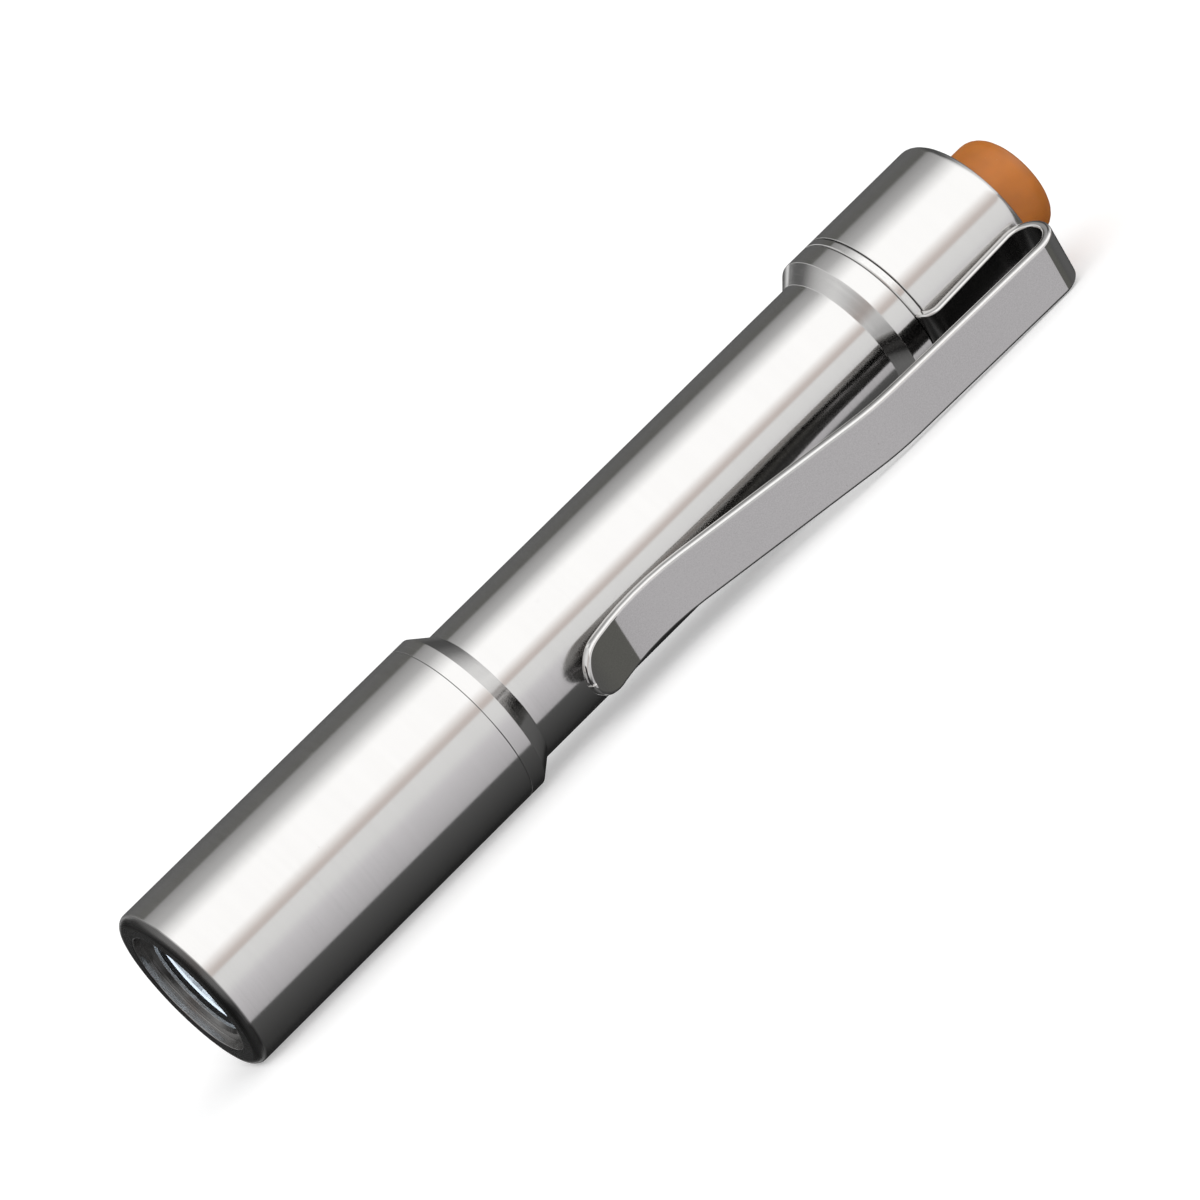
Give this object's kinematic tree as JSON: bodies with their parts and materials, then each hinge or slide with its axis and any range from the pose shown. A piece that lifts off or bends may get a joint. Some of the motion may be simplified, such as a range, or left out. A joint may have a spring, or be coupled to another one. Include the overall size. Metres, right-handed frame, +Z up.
{
  "type": "penlight flashlight",
  "caption": "Slim stainless steel pocket flashlight with a screw-on head, a screw tail cap, a soft push button and a folded spring clip.",
  "frame": {"origin": "middle of the flashlight's bounding box at the surface it lies on", "axes": "+X along the light's axis from the bezel to the push button, +Z up, and the clip leans down on the -Y side"},
  "size_m": [0.0862, 0.0184, 0.014],
  "materials": {
    "satin_steel": "satin turned steel with fine rings round the axis",
    "polished_steel": "polished sheet steel with bright rounded edges",
    "lens_glass": "clear flat glass",
    "reflector_metal": "bright smooth metallised bowl",
    "black_rubber": "soft matt black",
    "white_plastic": "matt white",
    "emitter_yellow": "yellow phosphor under a clear dome",
    "board_white": "white lacquered metal board",
    "board_green": "green lacquered circuit board",
    "brass": "turned brass",
    "spring_steel": "plated spring wire",
    "wire_red": "red insulation",
    "black_plastic": "matt black",
    "can_metal": "plain drawn can",
    "jacket_grey": "smooth plain grey plastic",
    "amber_silicone": "matt brown-orange silicone"
  },
  "bodies": {
    "tube": {"body_tube": "satin_steel", "head_o_ring": "black_rubber", "tail_o_ring": "black_rubber"},
    "cell": {"battery_can": "can_metal", "battery_jacket": "jacket_grey", "battery_insulator": "white_plastic"},
    "head": {"head_shell": "satin_steel", "lens_seal": "black_rubber", "lens": "lens_glass", "reflector": "reflector_metal", "led_gasket": "white_plastic", "led_emitter": "emitter_yellow", "led_board": "board_white", "heat_sink": "brass", "led_wires": "wire_red", "driver_board": "board_green", "driver_parts": "black_plastic", "driver_ring": "brass", "driver_contact": "brass"},
    "clip": {"clip_base": "polished_steel"},
    "blade": {"clip_blade": "polished_steel"},
    "cap": {"tail_cap": "satin_steel", "boot_flange": "amber_silicone", "switch_spacer": "brass", "switch_board": "board_green", "switch_housing": "black_plastic", "switch_ring": "brass", "tail_spring": "spring_steel"},
    "button": {"button_boot": "amber_silicone", "switch_plunger": "white_plastic"}
  },
  "joints": [
    {"name": "cell_slide", "type": "slide", "parent": "tube", "child": "cell", "axis": [-1, 0, 0], "range_m": [0, 0.0042]},
    {"name": "head_turn", "type": "hinge", "parent": "cell", "child": "head", "pos_m": [0, 0.00222, 0.007], "axis": [-1, 0, 0], "range_deg": [0, 2160]},
    {"name": "clip_slide", "type": "slide", "parent": "tube", "child": "clip", "axis": [1, 0, 0], "range_m": [0, 0.0042]},
    {"name": "cap_turn", "type": "hinge", "parent": "clip", "child": "cap", "pos_m": [0, 0.00222, 0.007], "axis": [1, 0, 0], "range_deg": [0, 2160]},
    {"name": "button_press", "type": "slide", "parent": "cap", "child": "button", "axis": [-1, 0, 0], "range_m": [0, 0.0015], "stiffness_N_per_m": 1500, "springref_m": -0.0004},
    {"name": "clip_flex", "type": "hinge", "parent": "clip", "child": "blade", "pos_m": [0.03872, -0.00621, 0.00304], "axis": [0, -0.4255, 0.905], "range_deg": [0, 4], "stiffness_Nm_per_rad": 1, "springref_deg": -1.15}
  ],
  "couplings": [
    {"joint": "cell_slide", "follows": "head_turn", "m_per_rad": 0.00011141},
    {"joint": "clip_slide", "follows": "cap_turn", "m_per_rad": 0.00011141}
  ]
}
